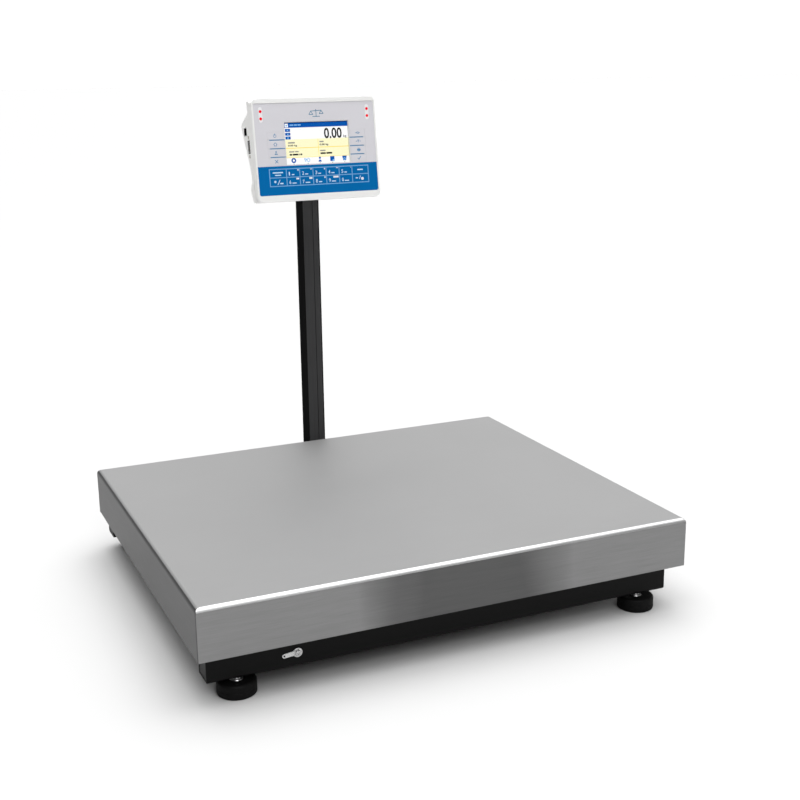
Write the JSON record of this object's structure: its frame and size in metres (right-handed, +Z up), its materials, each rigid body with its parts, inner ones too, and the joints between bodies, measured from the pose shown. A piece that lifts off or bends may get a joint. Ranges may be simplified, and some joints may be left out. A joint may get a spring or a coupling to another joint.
{
  "type": "bench scale",
  "caption": "Bench scale with a stainless weighing pan on a low black base with levelling feet, and a tilting colour terminal on a rear column.",
  "frame": {"origin": "floor level, at the centre of the whole object's footprint", "axes": "+X to the operator's right, +Y from the operator towards the column, +Z up"},
  "size_m": [0.6, 0.5508, 0.5976],
  "materials": {
    "stainless_sheet": "brushed stainless sheet",
    "black_paint": "satin black powder coat",
    "black_profile": "black anodised profile",
    "cell_aluminium": "machined aluminium",
    "zinc_steel": "bright zinc plate",
    "black_rubber": "black rubber",
    "foot_rubber": "black moulded foot",
    "cable_jacket": "black cable jacket",
    "black_plastic": "black moulded knob",
    "level_vial": "green level vial",
    "case_plastic": "light grey ABS",
    "overlay_film": "printed polyester film",
    "key_blue": "blue printed film",
    "key_grey": "grey printed film",
    "display_glass": "clear display window",
    "display_module": "lit colour display",
    "board_green": "green circuit board",
    "sensor_lens": "sensor window"
  },
  "bodies": {
    "base": {"base_front_tube": "black_paint", "base_rear_tube": "black_paint", "base_beam": "black_paint", "load_cell": "cell_aluminium", "cell_base_bolt_1": "zinc_steel", "cell_base_bolt_2": "zinc_steel", "earth_lug": "zinc_steel", "earth_screw": "zinc_steel", "spirit_level": "level_vial", "load_cell_cable": "cable_jacket", "column_bracket": "black_paint", "column": "black_profile", "column_head": "black_paint"},
    "load_platform": {"upper_frame": "black_paint", "cell_top_bolt_1": "zinc_steel", "cell_top_bolt_2": "zinc_steel", "pan_bumper_front_left": "black_rubber", "pan_bumper_front_right": "black_rubber", "pan_bumper_rear_left": "black_rubber", "pan_bumper_rear_right": "black_rubber"},
    "pan": {"weighing_pan": "stainless_sheet"},
    "terminal": {"terminal_bracket": "black_paint", "front_shell": "case_plastic", "rear_shell": "case_plastic", "keypad_overlay": "overlay_film", "lcd_window": "display_glass", "lcd_module": "display_module", "main_board": "board_green", "usb_port": "zinc_steel", "serial_port": "zinc_steel", "left_sensor_window": "sensor_lens", "right_sensor_window": "sensor_lens"},
    "knob": {"tilt_knob": "black_plastic"},
    "foot_front_left": {"foot_front_left": "foot_rubber"},
    "foot_front_right": {"foot_front_right": "foot_rubber"},
    "foot_rear_left": {"foot_rear_left": "foot_rubber"},
    "foot_rear_right": {"foot_rear_right": "foot_rubber"},
    "key_mode": {"key_mode": "key_blue"},
    "key_1": {"key_1": "key_blue"},
    "key_2": {"key_2": "key_blue"},
    "key_3": {"key_3": "key_blue"},
    "key_4": {"key_4": "key_blue"},
    "key_5": {"key_5": "key_blue"},
    "key_clear": {"key_clear": "key_blue"},
    "key_shift": {"key_shift": "key_blue"},
    "key_6": {"key_6": "key_blue"},
    "key_7": {"key_7": "key_blue"},
    "key_8": {"key_8": "key_blue"},
    "key_9": {"key_9": "key_blue"},
    "key_0": {"key_0": "key_blue"},
    "key_enter": {"key_enter": "key_blue"},
    "key_power": {"key_power": "key_grey"},
    "key_home": {"key_home": "key_grey"},
    "key_user": {"key_user": "key_grey"},
    "key_cancel": {"key_cancel": "key_grey"},
    "key_zero": {"key_zero": "key_grey"},
    "key_tare": {"key_tare": "key_grey"},
    "key_print": {"key_print": "key_grey"},
    "key_confirm": {"key_confirm": "key_grey"}
  },
  "joints": [
    {"name": "terminal_tilt", "type": "hinge", "parent": "base", "child": "terminal", "pos_m": [0.026, 0.25715, 0.511], "axis": [-1, 0, 0], "range_deg": [-5, 45]},
    {"name": "tilt_knob_turn", "type": "hinge", "parent": "terminal", "child": "knob", "pos_m": [0.026, 0.25715, 0.511], "axis": [1, 0, 0], "continuous": true},
    {"name": "weigh_travel", "type": "slide", "parent": "base", "child": "load_platform", "axis": [0, 0, 1], "range_m": [-0.0004, 0], "stiffness_N_per_m": 1000000},
    {"name": "pan_lift_off", "type": "slide", "parent": "load_platform", "child": "pan", "axis": [0, 0, 1], "range_m": [0, 0.12]},
    {"name": "foot_front_left_height", "type": "slide", "parent": "base", "child": "foot_front_left", "axis": [0, 0, 1], "range_m": [-0.012, 0.0035]},
    {"name": "foot_front_right_height", "type": "slide", "parent": "base", "child": "foot_front_right", "axis": [0, 0, 1], "range_m": [-0.012, 0.0035]},
    {"name": "foot_rear_left_height", "type": "slide", "parent": "base", "child": "foot_rear_left", "axis": [0, 0, 1], "range_m": [-0.012, 0.0035]},
    {"name": "foot_rear_right_height", "type": "slide", "parent": "base", "child": "foot_rear_right", "axis": [0, 0, 1], "range_m": [-0.012, 0.0035]},
    {"name": "key_mode_press", "type": "slide", "parent": "terminal", "child": "key_mode", "axis": [0, 0.9907, -0.1357], "range_m": [0, 0.0005], "stiffness_N_per_m": 4000},
    {"name": "key_1_press", "type": "slide", "parent": "terminal", "child": "key_1", "axis": [0, 0.9907, -0.1357], "range_m": [0, 0.0005], "stiffness_N_per_m": 4000},
    {"name": "key_2_press", "type": "slide", "parent": "terminal", "child": "key_2", "axis": [0, 0.9907, -0.1357], "range_m": [0, 0.0005], "stiffness_N_per_m": 4000},
    {"name": "key_3_press", "type": "slide", "parent": "terminal", "child": "key_3", "axis": [0, 0.9907, -0.1357], "range_m": [0, 0.0005], "stiffness_N_per_m": 4000},
    {"name": "key_4_press", "type": "slide", "parent": "terminal", "child": "key_4", "axis": [0, 0.9907, -0.1357], "range_m": [0, 0.0005], "stiffness_N_per_m": 4000},
    {"name": "key_5_press", "type": "slide", "parent": "terminal", "child": "key_5", "axis": [0, 0.9907, -0.1357], "range_m": [0, 0.0005], "stiffness_N_per_m": 4000},
    {"name": "key_clear_press", "type": "slide", "parent": "terminal", "child": "key_clear", "axis": [0, 0.9907, -0.1357], "range_m": [0, 0.0005], "stiffness_N_per_m": 4000},
    {"name": "key_shift_press", "type": "slide", "parent": "terminal", "child": "key_shift", "axis": [0, 0.9907, -0.1357], "range_m": [0, 0.0005], "stiffness_N_per_m": 4000},
    {"name": "key_6_press", "type": "slide", "parent": "terminal", "child": "key_6", "axis": [0, 0.9907, -0.1357], "range_m": [0, 0.0005], "stiffness_N_per_m": 4000},
    {"name": "key_7_press", "type": "slide", "parent": "terminal", "child": "key_7", "axis": [0, 0.9907, -0.1357], "range_m": [0, 0.0005], "stiffness_N_per_m": 4000},
    {"name": "key_8_press", "type": "slide", "parent": "terminal", "child": "key_8", "axis": [0, 0.9907, -0.1357], "range_m": [0, 0.0005], "stiffness_N_per_m": 4000},
    {"name": "key_9_press", "type": "slide", "parent": "terminal", "child": "key_9", "axis": [0, 0.9907, -0.1357], "range_m": [0, 0.0005], "stiffness_N_per_m": 4000},
    {"name": "key_0_press", "type": "slide", "parent": "terminal", "child": "key_0", "axis": [0, 0.9907, -0.1357], "range_m": [0, 0.0005], "stiffness_N_per_m": 4000},
    {"name": "key_enter_press", "type": "slide", "parent": "terminal", "child": "key_enter", "axis": [0, 0.9907, -0.1357], "range_m": [0, 0.0005], "stiffness_N_per_m": 4000},
    {"name": "key_power_press", "type": "slide", "parent": "terminal", "child": "key_power", "axis": [0, 0.9907, -0.1357], "range_m": [0, 0.0005], "stiffness_N_per_m": 4000},
    {"name": "key_home_press", "type": "slide", "parent": "terminal", "child": "key_home", "axis": [0, 0.9907, -0.1357], "range_m": [0, 0.0005], "stiffness_N_per_m": 4000},
    {"name": "key_user_press", "type": "slide", "parent": "terminal", "child": "key_user", "axis": [0, 0.9907, -0.1357], "range_m": [0, 0.0005], "stiffness_N_per_m": 4000},
    {"name": "key_cancel_press", "type": "slide", "parent": "terminal", "child": "key_cancel", "axis": [0, 0.9907, -0.1357], "range_m": [0, 0.0005], "stiffness_N_per_m": 4000},
    {"name": "key_zero_press", "type": "slide", "parent": "terminal", "child": "key_zero", "axis": [0, 0.9907, -0.1357], "range_m": [0, 0.0005], "stiffness_N_per_m": 4000},
    {"name": "key_tare_press", "type": "slide", "parent": "terminal", "child": "key_tare", "axis": [0, 0.9907, -0.1357], "range_m": [0, 0.0005], "stiffness_N_per_m": 4000},
    {"name": "key_print_press", "type": "slide", "parent": "terminal", "child": "key_print", "axis": [0, 0.9907, -0.1357], "range_m": [0, 0.0005], "stiffness_N_per_m": 4000},
    {"name": "key_confirm_press", "type": "slide", "parent": "terminal", "child": "key_confirm", "axis": [0, 0.9907, -0.1357], "range_m": [0, 0.0005], "stiffness_N_per_m": 4000}
  ]
}
